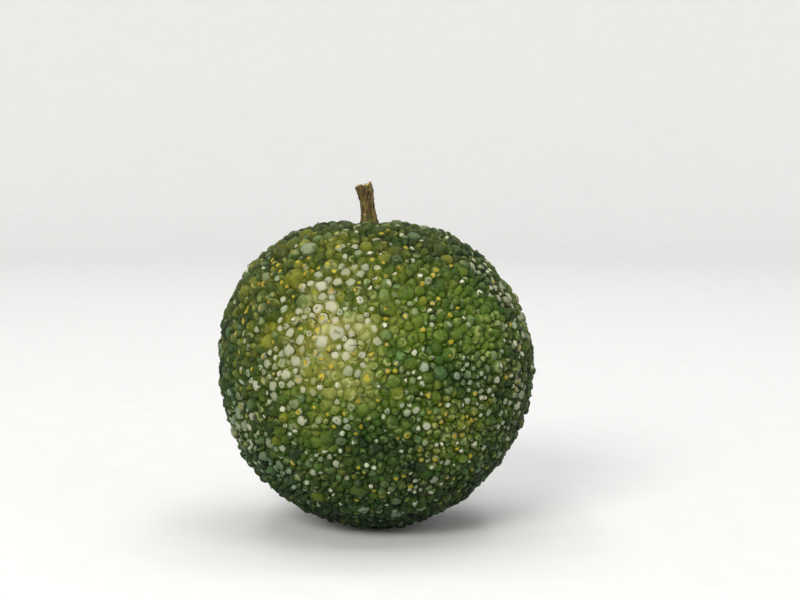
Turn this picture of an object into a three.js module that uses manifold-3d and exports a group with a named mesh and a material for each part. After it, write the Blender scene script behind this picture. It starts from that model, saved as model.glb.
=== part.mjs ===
// A hedge apple: the fruit of the Osage orange tree, Maclura pomifera, as picked.
// It is a ball of fused drupelets. Each drupelet shows as a rounded tubercle, with a
// groove around it. The fruit stands on the small flat where it settles, and the
// stub of its woody stalk rises out of a shallow dimple at the top.
//
// Units are millimetres, +Z is up, and the origin is the middle of the flat that the
// fruit rests on. +X is to the right and -Y is the front.

import * as THREE from "three";
import { ConvexHull } from "three/addons/math/ConvexHull.js";
import { mergeVertices } from "three/addons/utils/BufferGeometryUtils.js";
import Module from "manifold-3d";

const wasm = await Module();
wasm.setup();

// ---- Driving dimensions -------------------------------------------------------

const MEAN_RADIUS = 56.15; // mean radius to the tops of the tubercles
const CENTRE_HEIGHT = 54.4; // height of the ball's centre over the surface it rests on
const BALL_SHIFT = [-1.3, 1.0]; // moves the ball, so that its flat is centred on the origin
const FLAT_GUARD = 15.5; // radius round the resting flat where the relief fades out

// The outline isn't quite round. These are the cosine and sine parts, in mm, of the
// 1st to the 5th lobes of the outline in the front view, and of the plan outline.
const FRONT_LOBES = [
  [-0.42, 1.11],
  [0.8, -0.38],
  [0.44, 0.95],
  [-0.39, 0.16],
  [0.39, -0.2],
];
const DEPTH_LOBES = [
  [0.0, 0.0],
  [-0.7, 0.45],
  [0.5, -0.55],
  [0.3, 0.35],
];

const TUBERCLE_COUNT = 1050; // about 6.6 mm apart
const RELIEF = 1.5; // depth of the grooves between the tubercles
const RELIEF_SPREAD = 0.45; // how unequal the tubercles are, as a share of RELIEF
const SHORTEST_EDGE = 0.45; // groove corners closer than this are one corner

const STALK_LEAN = [-0.045, 0.02]; // the stalk end lies this far off the top, in X and Y
const DIMPLE_DEPTH = 3.4;
const DIMPLE_WIDTH = 0.17; // radians from the stalk's axis
const SEAT_RADIUS = 4.3; // the flat floor of the dimple that the stalk stands on
const SEAT_HEIGHT = 106.0;
const SEAT_GAP = 0.3;

const STALK_LENGTH = 15.5;
const STALK_FOOT = 3.9; // radii
const STALK_WAIST = 2.45;
const STALK_TIP = 2.95;
const STALK_BEND = 2.1; // sideways travel from foot to tip
const STALK_SIDES = 18;

// ---- Helpers ------------------------------------------------------------------

function seeded(seed) {
  let s = seed >>> 0;
  return () => {
    s = (s + 0x6d2b79f5) >>> 0;
    let t = s;
    t = Math.imul(t ^ (t >>> 15), t | 1);
    t ^= t + Math.imul(t ^ (t >>> 7), t | 61);
    return ((t ^ (t >>> 14)) >>> 0) / 4294967296;
  };
}

const smooth = (lo, hi, v) => {
  const t = Math.min(1, Math.max(0, (v - lo) / (hi - lo)));
  return t * t * (3 - 2 * t);
};

// The lobes are powers of a complex number, which stay smooth all over the sphere.
function lobes(parts, re, im) {
  let a = 1,
    b = 0,
    sum = 0;
  for (const [c, s] of parts) {
    [a, b] = [a * re - b * im, a * im + b * re];
    sum += c * a + s * b;
  }
  return sum;
}

const ballCentre = new THREE.Vector3(...BALL_SHIFT, CENTRE_HEIGHT);
const stalkAxis = new THREE.Vector3(STALK_LEAN[0], STALK_LEAN[1], 1).normalize();

// Radius of the fruit to its tubercle tops, in the direction d.
function crownRadius(d) {
  const off = Math.acos(Math.min(1, d.dot(stalkAxis)));
  return (
    MEAN_RADIUS +
    lobes(FRONT_LOBES, d.x, d.z) +
    lobes(DEPTH_LOBES, d.y, d.z) * (1 - d.x * d.x) -
    DIMPLE_DEPTH * Math.exp(-((off / DIMPLE_WIDTH) ** 2))
  );
}

// ---- Tubercle centres ---------------------------------------------------------

// A golden-angle spread, shaken, then eased apart, so that the tubercles are as
// uneven as real ones but never crowd each other.
function tubercleCentres() {
  const random = seeded(20417);
  const spacing = Math.sqrt((4 * Math.PI) / TUBERCLE_COUNT);
  const points = [];
  for (let i = 0; i < TUBERCLE_COUNT; i++) {
    const z = 1 - (2 * i + 1) / TUBERCLE_COUNT;
    const r = Math.sqrt(1 - z * z);
    const a = i * Math.PI * (3 - Math.sqrt(5));
    const p = new THREE.Vector3(r * Math.cos(a), r * Math.sin(a), z);
    p.x += (random() - 0.5) * spacing * 1.15;
    p.y += (random() - 0.5) * spacing * 1.15;
    p.z += (random() - 0.5) * spacing * 1.15;
    points.push(p.normalize());
  }
  const reach = spacing * 1.15;
  for (let round = 0; round < 7; round++) {
    const push = points.map(() => new THREE.Vector3());
    for (let i = 0; i < points.length; i++)
      for (let j = i + 1; j < points.length; j++) {
        const d = points[i].distanceTo(points[j]);
        if (d >= reach || d < 1e-9) continue;
        const away = points[i]
          .clone()
          .sub(points[j])
          .multiplyScalar(((reach - d) / d) * 0.22);
        push[i].add(away);
        push[j].sub(away);
      }
    points.forEach((p, i) => p.add(push[i]).normalize());
  }
  return points;
}

// ---- The fruit ----------------------------------------------------------------

function fruitSurface() {
  const sites = tubercleCentres();
  const random = seeded(90210);
  const rise = sites.map(() => RELIEF * (1 - RELIEF_SPREAD * random()));

  // The hull of points on a sphere joins each tubercle to its neighbours. The
  // middle of each hull triangle is a corner where three grooves meet.
  const hull = new ConvexHull().setFromPoints(sites);
  const indexOf = new Map(sites.map((p, i) => [p, i]));
  const triangles = hull.faces.map((face) => {
    const ids = [];
    let e = face.edge;
    do {
      ids.push(indexOf.get(e.head().point));
      e = e.next;
    } while (e !== face.edge);
    return ids;
  });
  const corners = triangles.map(([a, b, c]) => {
    const n = new THREE.Vector3()
      .subVectors(sites[b], sites[a])
      .cross(new THREE.Vector3().subVectors(sites[c], sites[a]))
      .normalize();
    return n.dot(sites[a]) < 0 ? n.negate() : n;
  });

  // Corners that nearly meet become one.
  const lead = corners.map((_, i) => i);
  const find = (i) => (lead[i] === i ? i : (lead[i] = find(lead[i])));
  const across = new Map();
  triangles.forEach((t, n) =>
    t.forEach((a, k) => {
      const b = t[(k + 1) % 3];
      const key = a < b ? a + "_" + b : b + "_" + a;
      if (!across.has(key)) across.set(key, []);
      across.get(key).push(n);
    }),
  );
  for (const [, [m, n]] of across)
    if (corners[m].distanceTo(corners[n]) * MEAN_RADIUS < SHORTEST_EDGE)
      lead[find(m)] = find(n);

  // The relief fades out round the flat at the foot and round the stalk's seat.
  const relief = (d) => {
    const r = crownRadius(d);
    const foot = d.z < 0 ? smooth(FLAT_GUARD, FLAT_GUARD + 7, Math.hypot(d.x, d.y) * r) : 1;
    const off = Math.acos(Math.min(1, d.dot(stalkAxis))) * r;
    return foot * smooth(SEAT_RADIUS + 0.5, SEAT_RADIUS + 6, off);
  };
  const place = (d, drop) => {
    return d
      .clone()
      .multiplyScalar(crownRadius(d) - drop * relief(d))
      .add(ballCentre);
  };

  const vertices = [];
  const siteAt = sites.map((d, i) => vertices.push(place(d, RELIEF - rise[i])) - 1);
  const cornerAt = new Map();
  const cornerOf = (n) => {
    const m = find(n);
    if (!cornerAt.has(m)) cornerAt.set(m, vertices.push(place(corners[m], RELIEF)) - 1);
    return cornerAt.get(m);
  };

  const index = [];
  for (const [key, [m, n]] of across) {
    const p = cornerOf(m),
      q = cornerOf(n);
    if (p === q) continue;
    const [i, j] = key.split("_").map(Number);
    for (const [s, a, b] of [
      [siteAt[i], p, q],
      [siteAt[j], q, p],
    ]) {
      const out = new THREE.Vector3()
        .subVectors(vertices[a], vertices[s])
        .cross(new THREE.Vector3().subVectors(vertices[b], vertices[s]))
        .dot(vertices[s].clone().sub(ballCentre));
      if (out > 0) index.push(s, a, b);
      else index.push(s, b, a);
    }
  }
  const positions = new Float32Array(vertices.length * 3);
  vertices.forEach((v, i) => v.toArray(positions, i * 3));
  return new THREE.BufferGeometry()
    .setAttribute("position", new THREE.BufferAttribute(positions, 3))
    .setIndex(index);
}

// ---- Solids -------------------------------------------------------------------

function solidOf(geometry) {
  const bare = geometry.index ? geometry.toNonIndexed() : geometry.clone();
  bare.deleteAttribute("normal");
  bare.deleteAttribute("uv");
  const merged = mergeVertices(bare, 1e-4);
  return new wasm.Manifold(
    new wasm.Mesh({
      numProp: 3,
      vertProperties: merged.attributes.position.array,
      triVerts: new Uint32Array(merged.index.array),
    }),
  );
}

function geometryOf(solid) {
  const mesh = solid.getMesh();
  const positions = new Float32Array(mesh.numVert * 3);
  for (let i = 0; i < mesh.numVert; i++)
    positions.set(mesh.vertProperties.subarray(i * mesh.numProp, i * mesh.numProp + 3), i * 3);
  const g = new THREE.BufferGeometry()
    .setAttribute("position", new THREE.BufferAttribute(positions, 3))
    .setIndex(new THREE.BufferAttribute(mesh.triVerts, 1));
  g.computeVertexNormals();
  return g;
}

// The ball, with the flat at its foot and the stalk's seat cut into it.
function fruitGeometry() {
  const ground = new THREE.BoxGeometry(300, 300, 60).translate(0, 0, -30);
  const seat = new THREE.CylinderGeometry(SEAT_RADIUS, SEAT_RADIUS, 30, 24)
    .rotateX(Math.PI / 2)
    .translate(...seatCentre(), SEAT_HEIGHT + 15);
  return geometryOf(
    solidOf(fruitSurface()).subtract(solidOf(ground)).subtract(solidOf(seat)),
  );
}

function seatCentre() {
  const up = SEAT_HEIGHT - CENTRE_HEIGHT;
  return [BALL_SHIFT[0] + STALK_LEAN[0] * up, BALL_SHIFT[1] + STALK_LEAN[1] * up];
}

// The stub of the stalk: it swells at the foot, narrows, and ends in a slightly
// thicker, slanting break. It leans and bends a little.
function stalkGeometry() {
  const profile = [
    [0, 0],
    [STALK_FOOT, 0],
    [STALK_FOOT * 1.02, 0.7],
    [STALK_FOOT * 0.86, 1.9],
    [STALK_WAIST * 1.16, 3.6],
    [STALK_WAIST, 6.2],
    [STALK_WAIST * 1.02, 9.2],
    [STALK_WAIST * 1.1, 11.8],
    [STALK_TIP, 13.6],
    [STALK_TIP * 0.97, 14.7],
    [STALK_TIP * 0.8, STALK_LENGTH],
    [0, STALK_LENGTH],
  ].map(([r, h]) => new THREE.Vector2(r, h));
  const g = new THREE.LatheGeometry(profile, STALK_SIDES).rotateX(Math.PI / 2);
  const p = g.attributes.position;
  for (let i = 0; i < p.count; i++) {
    let [x, y, z] = [p.getX(i), p.getY(i), p.getZ(i)];
    const t = z / STALK_LENGTH;
    const a = Math.atan2(y, x);
    const ridge = 1 + 0.05 * smooth(0.04, 0.3, t) * Math.cos(3 * a + 0.6);
    x *= ridge;
    y *= ridge;
    z += smooth(0.8, 1, t) * x * 0.22; // the slanting break
    x += -STALK_BEND * t * t;
    y += 0.5 * Math.sin(t * 2.4);
    p.setXYZ(i, x, y, z);
  }
  return geometryOf(solidOf(g));
}

// ---- The part -----------------------------------------------------------------

const skin = new THREE.MeshStandardMaterial({
  name: "skin",
  color: new THREE.Color().setRGB(0.106, 0.156, 0.036),
  roughness: 0.55,
  metalness: 0,
  flatShading: true,
});
const bark = new THREE.MeshStandardMaterial({
  name: "bark",
  color: new THREE.Color().setRGB(0.09, 0.062, 0.026),
  roughness: 0.85,
  metalness: 0,
  flatShading: true,
});

const fruit = new THREE.Mesh(fruitGeometry(), skin);
fruit.name = "fruit";

const stalk = new THREE.Mesh(stalkGeometry(), bark);
stalk.name = "stalk";
stalk.position.set(...seatCentre(), SEAT_HEIGHT + SEAT_GAP);

const hedgeApple = new THREE.Group();
hedgeApple.name = "hedge_apple";
hedgeApple.add(fruit, stalk);

export default hedgeApple;
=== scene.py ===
"""The looks of a hedge apple, the fruit of the Osage orange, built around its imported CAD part.

The CAD fruit gives every tubercle its place. Here each tubercle becomes a cluster of nubs, as on
the real fruit, with deep clefts round the tubercles and shallower creases inside them.
"""

import math

import bmesh
import bpy
import numpy as np
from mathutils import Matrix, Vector
from mathutils.bvhtree import BVHTree


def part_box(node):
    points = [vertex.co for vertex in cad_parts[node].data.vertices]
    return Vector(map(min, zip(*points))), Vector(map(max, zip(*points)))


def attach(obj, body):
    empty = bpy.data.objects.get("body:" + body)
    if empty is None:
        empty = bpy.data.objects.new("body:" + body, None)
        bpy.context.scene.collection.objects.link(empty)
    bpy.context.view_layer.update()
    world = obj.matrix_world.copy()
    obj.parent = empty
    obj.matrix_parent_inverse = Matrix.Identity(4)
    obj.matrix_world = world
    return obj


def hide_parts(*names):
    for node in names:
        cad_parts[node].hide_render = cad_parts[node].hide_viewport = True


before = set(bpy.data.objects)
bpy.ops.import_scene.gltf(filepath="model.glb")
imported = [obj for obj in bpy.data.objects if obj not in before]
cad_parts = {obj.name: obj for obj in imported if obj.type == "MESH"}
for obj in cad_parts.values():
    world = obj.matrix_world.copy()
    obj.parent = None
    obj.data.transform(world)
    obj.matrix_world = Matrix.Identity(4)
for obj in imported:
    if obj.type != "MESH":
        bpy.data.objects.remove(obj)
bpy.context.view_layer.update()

MM = 0.001
rng = np.random.default_rng(73142)

# ---- Numbers that set the look, in millimetres -----------------------------------------

NUB_AREA = 9.9  # skin area of one nub
NUB_SPREAD = 0.29  # how unequal in width the nubs are
DEEP = 1.9  # clefts between tubercles
SHALLOW = 1.05  # creases between the nubs of one tubercle
RISE_SPREAD = 1.25  # how unequal in height the nubs are
LIFT = 0.5  # the tallest nubs stand this far above the mean of the CAD tubercles' tops
BORDER_WANDER = 0.3  # how far the creases wander sideways
LONG_CREASE = 1.6  # a crease longer than this bends halfway
DIMPLE_DEPTH = 3.4  # as the CAD part has it
DIMPLE_WIDTH = 0.17


# ---- Small helpers ----------------------------------------------------------------------


def unit(v):
    return v / np.linalg.norm(v, axis=-1, keepdims=True)


def smoothstep(lo, hi, v):
    t = np.clip((v - lo) / (hi - lo), 0, 1)
    return t * t * (3 - 2 * t)


def field(points, wavelength, seed, waves=28):
    """Smooth noise of about unit size, from a sum of plane waves. points and wavelength in mm."""
    g = np.random.default_rng(seed)
    k = unit(g.normal(size=(waves, 3))) * (2 * np.pi / wavelength) * g.uniform(0.65, 1.35, (waves, 1))
    phase = g.uniform(0, 2 * np.pi, waves)
    return np.cos(points @ k.T + phase).sum(1) * math.sqrt(2 / waves)


def tangents(d):
    helper = np.where(np.abs(d[:, 2:3]) < 0.9, [[0.0, 0.0, 1.0]], [[1.0, 0.0, 0.0]])
    t1 = unit(np.cross(helper, d))
    return t1, np.cross(d, t1)


def fibonacci(n):
    i = np.arange(n)
    z = 1 - (2 * i + 1) / n
    r = np.sqrt(1 - z * z)
    a = i * math.pi * (3 - math.sqrt(5))
    return np.stack([r * np.cos(a), r * np.sin(a), z], 1)


def front(across, up):
    """The direction of a spot on the fruit's face, given as it is seen from the front and a little above.
    across and up are shares of the radius, from the middle of the fruit."""
    tip = math.radians(8)
    near = math.sqrt(max(0.0, 1 - across**2 - up**2))
    return (across, up * math.sin(tip) - near * math.cos(tip), up * math.cos(tip) + near * math.sin(tip))


def drifts(d, spots, floor=0.0):
    """Soft patches over the fruit that run into one another. Each spot is a direction, a width in radians and an amount."""
    out = np.full(len(d), float(floor) ** 4)
    for where, width, amount in spots:
        a2 = 2 - 2 * d @ unit(np.array(where, float))
        out += (amount * np.exp(-a2 / (2 * width**2))) ** 4
    return out**0.25


# ---- What the CAD fruit says --------------------------------------------------------------


def cad_mesh(name):
    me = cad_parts[name].data
    co = np.array([v.co for v in me.vertices], float) / MM
    me.calc_loop_triangles()
    tri = np.array([t.vertices for t in me.loop_triangles])
    key = np.round(co * 500).astype(np.int64)
    _, first, inverse = np.unique(key, axis=0, return_index=True, return_inverse=True)
    return co[first], inverse.reshape(-1)[tri]


fruit_co, fruit_tri = cad_mesh("fruit")
stalk_co, _ = cad_mesh("stalk")
lo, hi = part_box("fruit")
CENTRE = np.array([(lo.x + hi.x) / 2, (lo.y + hi.y) / 2, hi.z * 0.498]) / MM
stalk_foot = stalk_co[stalk_co[:, 2] < stalk_co[:, 2].min() + 0.1].mean(0)
stalk_top = stalk_co[:, 2].max()
AXIS = unit(stalk_foot - CENTRE)


def dip(d):
    """How far the stalk's dimple lowers the skin in direction d."""
    off = np.arccos(np.clip(d @ AXIS, -1, 1))
    return DIMPLE_DEPTH * np.exp(-((off / DIMPLE_WIDTH) ** 2))


def tubercles():
    """Directions and radii of the CAD fruit's tubercles: the vertices that stand above all their neighbours."""
    rel = fruit_co - CENTRE
    rad = np.linalg.norm(rel, axis=1)
    highest = np.zeros(len(rad))
    for a, b in ((0, 1), (1, 2), (2, 0)):
        np.maximum.at(highest, fruit_tri[:, a], rad[fruit_tri[:, b]])
        np.maximum.at(highest, fruit_tri[:, b], rad[fruit_tri[:, a]])
    found = rad > highest + 0.2
    return unit(rel[found]), rad[found]


tub_dir, tub_rad = tubercles()
count = len(tub_dir)
spacing = math.sqrt(4 * math.pi / 1050)
print("tubercles in the CAD fruit:", count)

# Smooth radius of the skin to its tops, without the dimple. Sites are sparse at both poles, where
# the CAD relief fades, so the average there reaches further.
_site, _lifted = tub_dir, tub_rad + dip(tub_dir)


def crown(d):
    out = np.empty(len(d))
    for s in range(0, len(d), 4000):
        part = d[s : s + 4000]
        angle2 = 2 - 2 * part @ _site.T
        w = np.exp(-angle2 / (2 * 0.07**2)) + 1e-4 * np.exp(-angle2 / (2 * 0.2**2))
        out[s : s + 4000] = (w @ _lifted) / w.sum(1)
    return out - dip(d)


# Fill the places where the CAD relief fades: round the flat and in the dimple.
extra = []
known = tub_dir
for p in fibonacci(4200):
    near = 2 - 2 * (known @ p).max()
    if near > (0.86 * spacing) ** 2:
        extra.append(p)
        known = np.vstack([known, p])
if extra:
    extra = np.array(extra)
    tub_rad = np.concatenate([tub_rad, crown(extra)])
    tub_dir = np.vstack([tub_dir, extra])
print("tubercles added:", len(extra))


# ---- Nubs ---------------------------------------------------------------------------------

NUB_FINE = ((front(0.45, -0.45), 0.42, 0.42), (front(-0.1, -0.8), 0.35, 0.25), (front(0.7, 0.1), 0.3, 0.2), ((0.3, 0.8, -0.5), 0.5, 0.3))
NUB_BROAD = ((front(-0.35, 0.45), 0.5, 1.0), ((0.4, 0.8, 0.4), 0.5, 1.0))
# Where the fruit is ripest the nubs have swollen together, and the creases are shallow.
SWOLLEN = ((front(-0.20, 0.06), 0.30, 1.0), (front(-0.05, 0.55), 0.24, 0.5), (front(0.18, -0.50), 0.36, 0.6), ((0.45, 0.85, 0.15), 0.34, 0.9), ((-0.8, 0.6, 0.2), 0.2, 0.6))


def make_nubs():
    """Each tubercle is split into nubs. Returns their directions and the tubercle each belongs to."""
    g = np.random.default_rng(5501)
    d2 = 2 - 2 * tub_dir @ tub_dir.T
    np.fill_diagonal(d2, 9)
    near = np.sqrt(np.sort(d2, 1)[:, :6]).mean(1) * 56
    area = near**2 * 0.866
    t1, t2 = tangents(tub_dir)
    dirs, owner = [], []
    finer = 0.9 + drifts(tub_dir, NUB_FINE) - 0.12 * drifts(tub_dir, NUB_BROAD)
    for i in range(len(tub_dir)):
        k = int(np.clip(round(area[i] / NUB_AREA * finer[i] + g.uniform(-0.75, 0.75)), 1, 7))
        turn = g.uniform(0, 2 * math.pi)
        reach = {1: 0.0, 2: 0.25, 3: 0.29, 4: 0.33, 5: 0.37, 6: 0.38, 7: 0.38}[k] * near[i] / 56
        ring = k - 1 if k >= 5 else k
        for j in range(k):
            if j >= ring:
                off = g.normal(size=2) * 0.03 * reach
            else:
                a = turn + 2 * math.pi * j / ring + g.normal() * 0.22
                r = reach * g.uniform(0.82, 1.18)
                off = np.array([math.cos(a), math.sin(a)]) * r
            dirs.append(tub_dir[i] + t1[i] * off[0] + t2[i] * off[1])
            owner.append(i)
    dirs, owner = unit(np.array(dirs)), np.array(owner)
    home = dirs.copy()
    girth = np.exp(g.normal(size=len(dirs)) * NUB_SPREAD) / np.sqrt(finer[owner])
    girth *= math.sqrt(39400 / len(dirs) / 0.866) / 2 / 56 / girth.mean()
    for _ in range(9):
        gram = dirs @ dirs.T
        a, b = np.nonzero(np.triu(gram > 1 - (6 / 56) ** 2 / 2, 1))
        away = dirs[a] - dirs[b]
        dist = np.linalg.norm(away, axis=1, keepdims=True)
        reach = (girth[a] + girth[b])[:, None] * 1.06
        push = away / dist * np.clip(reach - dist, 0, None) * 0.26
        step = np.zeros_like(dirs)
        np.add.at(step, a, push)
        np.add.at(step, b, -push)
        dirs = unit(dirs + step + (home - dirs) * 0.08)
    return dirs, owner, girth


nub_dir, nub_owner, nub_girth = make_nubs()


def neighbours(points, girth):
    """Triangles that join each nub to its neighbours, and the direction where each three meet.
    Points pushed out by their girth make the hull's dual a weighted Voronoi diagram, so broad nubs get broad cells."""
    bm = bmesh.new()
    verts = [bm.verts.new(p * 100) for p in points / np.cos(girth)[:, None]]
    for i, v in enumerate(verts):
        v.index = i
    bmesh.ops.convex_hull(bm, input=verts)
    bmesh.ops.triangulate(bm, faces=bm.faces[:])
    tris = np.array([[v.index for v in f.verts] for f in bm.faces])
    bm.free()
    q = points / np.cos(girth)[:, None]
    a, b, c = q[tris[:, 0]], q[tris[:, 1]], q[tris[:, 2]]
    normal = np.cross(b - a, c - a)
    flip = np.einsum("ij,ij->i", normal, a) < 0
    tris[flip] = tris[flip][:, ::-1]
    normal[flip] *= -1
    return tris, unit(normal)


tris, corner_dir = neighbours(nub_dir, nub_girth)
used = np.unique(tris)
if len(used) < len(nub_dir):
    print("nubs with no room:", len(nub_dir) - len(used))
    nub_dir, nub_owner, nub_girth = nub_dir[used], nub_owner[used], nub_girth[used]
    tris, corner_dir = neighbours(nub_dir, nub_girth)
N = len(nub_dir)
print("nubs:", N)
assert len(tris) == 2 * N - 4, (len(tris), N)


# ---- The skin's mesh ------------------------------------------------------------------------


def build_skin():
    g = np.random.default_rng(88)
    lead = np.arange(len(tris))

    def find(i):
        while lead[i] != i:
            lead[i] = lead[lead[i]]
            i = lead[i]
        return i

    edge_tris = {}
    for n, (a, b, c) in enumerate(tris):
        for i, j in ((a, b), (b, c), (c, a)):
            edge_tris.setdefault((min(i, j), max(i, j)), []).append(n)
    for m, n in edge_tris.values():
        if np.linalg.norm(corner_dir[m] - corner_dir[n]) * 56 < 0.42:
            lead[find(m)] = find(n)
    lead = np.array([find(i) for i in range(len(tris))])

    # How high each nub stands. Broad nubs stand a little higher, and the ones at a tubercle's rim lower.
    own = (tub_rad - crown(tub_dir))[nub_owner]
    from_middle = np.linalg.norm(nub_dir - tub_dir[nub_owner], axis=1) * 56
    drop = g.random(N) ** 0.75 * RISE_SPREAD + 0.12 * from_middle - own * 0.55
    drop -= 0.35 * (nub_girth - nub_girth.mean()) * 56
    swollen = np.clip(drifts(nub_dir, SWOLLEN), 0, 1)
    drop = drop * (1 - 0.35 * swollen) + 0.12 * swollen

    def off_axis(d):
        return np.arccos(np.clip(d @ AXIS, -1, 1)) * 56

    fade = 0.4 + 0.6 * smoothstep(3, 14, off_axis(nub_dir))
    top_rad = crown(nub_dir) + (LIFT - drop) * fade

    # Shared vertices: where creases meet, and one more halfway along each long crease.
    pair_depth = {}
    for i, j in edge_tris:
        if nub_owner[i] != nub_owner[j]:
            d = DEEP * g.uniform(0.7, 1.2)
        elif g.random() < 0.3:
            d = g.uniform(0.05, 0.3)
        else:
            d = SHALLOW * g.uniform(0.6, 1.35)
        d *= 1 - 0.5 * max(swollen[i], swollen[j])
        pair_depth[(i, j)] = d
    vdir, vdepth, vtop = [], [], []
    corner_at, middle_at = {}, {}
    groups = {}
    for n in range(len(tris)):
        groups.setdefault(lead[n], []).append(n)
    for top, members in groups.items():
        ids = sorted({int(v) for n in members for v in tris[n]})
        depths = []
        for n in members:
            a, b, c = tris[n]
            for i, j in ((a, b), (b, c), (c, a)):
                depths.append(pair_depth[(min(i, j), max(i, j))])
        corner_at[top] = len(vdir)
        vdir.append(unit(corner_dir[members].mean(0)))
        vdepth.append(max(depths) * 0.75 + np.mean(depths) * 0.25 + 0.2)
        vtop.append(top_rad[ids].min())
    for (i, j), (m, n) in edge_tris.items():
        if lead[m] == lead[n]:
            continue
        p, q = vdir[corner_at[lead[m]]], vdir[corner_at[lead[n]]]
        side = np.cross(p, q)
        length = np.linalg.norm(side)
        bend = g.uniform(-0.13, 0.13) * length
        if length * 56 < LONG_CREASE:
            continue
        middle_at[(i, j)] = len(vdir)
        vdir.append(unit(p + q + side / max(length, 1e-9) * bend * 2))
        vdepth.append(pair_depth[(i, j)])
        vtop.append(min(top_rad[i], top_rad[j]))
    shared = len(vdir)
    base, vdepth, vtop = np.array(vdir), np.array(vdepth), np.array(vtop)
    t1, t2 = tangents(base)
    at = base * 56
    wander1 = field(at, 4.2, 301) * 0.6 + field(at, 9.0, 302) * 0.7
    wander2 = field(at, 4.2, 303) * 0.6 + field(at, 9.0, 304) * 0.7
    base = unit(base + (t1 * wander1[:, None] + t2 * wander2[:, None]) * BORDER_WANDER / 56)
    shared_rad = vtop - vdepth * (0.4 + 0.6 * smoothstep(3, 14, off_axis(base)))

    around = [[] for _ in range(N)]
    for n, t in enumerate(tris):
        for v in t:
            around[v].append(n)

    nub_t1, nub_t2 = tangents(nub_dir)
    positions = [base[i] * shared_rad[i] for i in range(shared)]
    hollow = list(np.clip(vdepth / (DEEP * 1.25), 0, 1))
    faces, face_nub, face_local = [], [], []
    tilt = g.normal(size=(N, 2)) * 0.10
    size = np.zeros(N)
    for i in range(N):
        # Walk round the nub: in the triangle (i, b, c) the next neighbour after b is c.
        step = {}
        for n in around[i]:
            t = [int(v) for v in tris[n]]
            at = t.index(i)
            step[t[(at + 1) % 3]] = (t[(at + 2) % 3], n)
        first = min(step)
        ring, b = [], first
        while True:
            c, n = step[b]
            a = corner_at[lead[n]]
            if not ring or ring[-1] != a:
                ring.append(a)
            key = (min(i, c), max(i, c))
            if key in middle_at:
                ring.append(middle_at[key])
            b = c
            if b == first:
                break
        if ring[0] == ring[-1]:
            ring.pop()
        ring = np.array(ring)
        bd, br = base[ring], shared_rad[ring]
        mid = unit(bd.mean(0) * 0.75 + nub_dir[i] * 0.25)
        r_out = np.linalg.norm(bd - mid, axis=1) * 56
        size[i] = r_out.mean()
        top = top_rad[i]
        n = len(ring)
        local_ring = np.stack([(bd - mid) @ nub_t1[i], (bd - mid) @ nub_t2[i]], 1) * 56
        rows = [(ring, local_ring)]
        # Towards its top the nub's outline gets rounder.
        for reach, s_up, rounder in ((0.87, 0.52, 0.3), (0.52, 0.88, 0.8)):
            part = np.clip(reach * (size[i] / r_out) ** rounder, 0, reach * 0.55 + 0.45 if reach < 0.8 else 0.91)[:, None]
            d = unit(bd * part + mid * (1 - part))
            local = local_ring * part
            slope = local @ tilt[i]
            r = br + (top - br) * s_up + slope * s_up
            start = len(positions)
            positions.extend(d * r[:, None])
            hollow.extend(hollow[v] * (1 - s_up) for v in ring)
            rows.append((np.arange(start, start + n), local))
        centre = len(positions)
        positions.append(mid * top)
        hollow.append(0.0)
        zero = np.zeros(2)
        for k in range(n):
            k2 = (k + 1) % n
            for (ra, la), (rb, lb) in zip(rows, rows[1:]):
                faces.append((ra[k], ra[k2], rb[k2]))
                face_local.append((la[k], la[k2], lb[k2]))
                faces.append((ra[k], rb[k2], rb[k]))
                face_local.append((la[k], lb[k2], lb[k]))
            faces.append((rb[k], rb[k2], centre))
            face_local.append((lb[k], lb[k2], zero))
            face_nub.extend((i,) * 5)

    co = np.array(positions) + CENTRE
    # The weight of the fruit presses the lowest nubs flat.
    soft = 0.75
    low = co[:, 2] < soft
    co[low, 2] = soft * np.exp((co[low, 2] - soft) / soft)
    return co, np.array(faces), np.array(face_nub), np.array(face_local), np.array(hollow), size


co, faces, face_nub, face_local, hollow, nub_size = build_skin()
print("skin: %d vertices, %d triangles, nub radius %.2f mm" % (len(co), len(faces), nub_size.mean()))


def mesh_object(name, co_mm, faces, smooth=True):
    me = bpy.data.meshes.new(name)
    me.vertices.add(len(co_mm))
    me.vertices.foreach_set("co", (np.asarray(co_mm) * MM).astype(np.float32).ravel())
    faces = np.asarray(faces)
    me.loops.add(faces.size)
    me.loops.foreach_set("vertex_index", faces.astype(np.int32).ravel())
    me.polygons.add(len(faces))
    me.polygons.foreach_set("loop_start", np.arange(0, faces.size, faces.shape[1], dtype=np.int32))
    me.polygons.foreach_set("loop_total", np.full(len(faces), faces.shape[1], np.int32))
    me.update(calc_edges=True)
    me.validate()
    me.polygons.foreach_set("use_smooth", np.full(len(me.polygons), smooth))
    obj = bpy.data.objects.new(name, me)
    bpy.context.scene.collection.objects.link(obj)
    return obj


def add_corner_vector(me, name, values):
    attribute = me.attributes.new(name, "FLOAT_VECTOR", "CORNER")
    attribute.data.foreach_set("vector", np.asarray(values, np.float32).ravel())


def add_point_float(me, name, values):
    attribute = me.attributes.new(name, "FLOAT", "POINT")
    attribute.data.foreach_set("value", np.asarray(values, np.float32).ravel())


skin = mesh_object("fruit_skin", co, faces)

# ---- What each nub looks like -----------------------------------------------------------------


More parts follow.
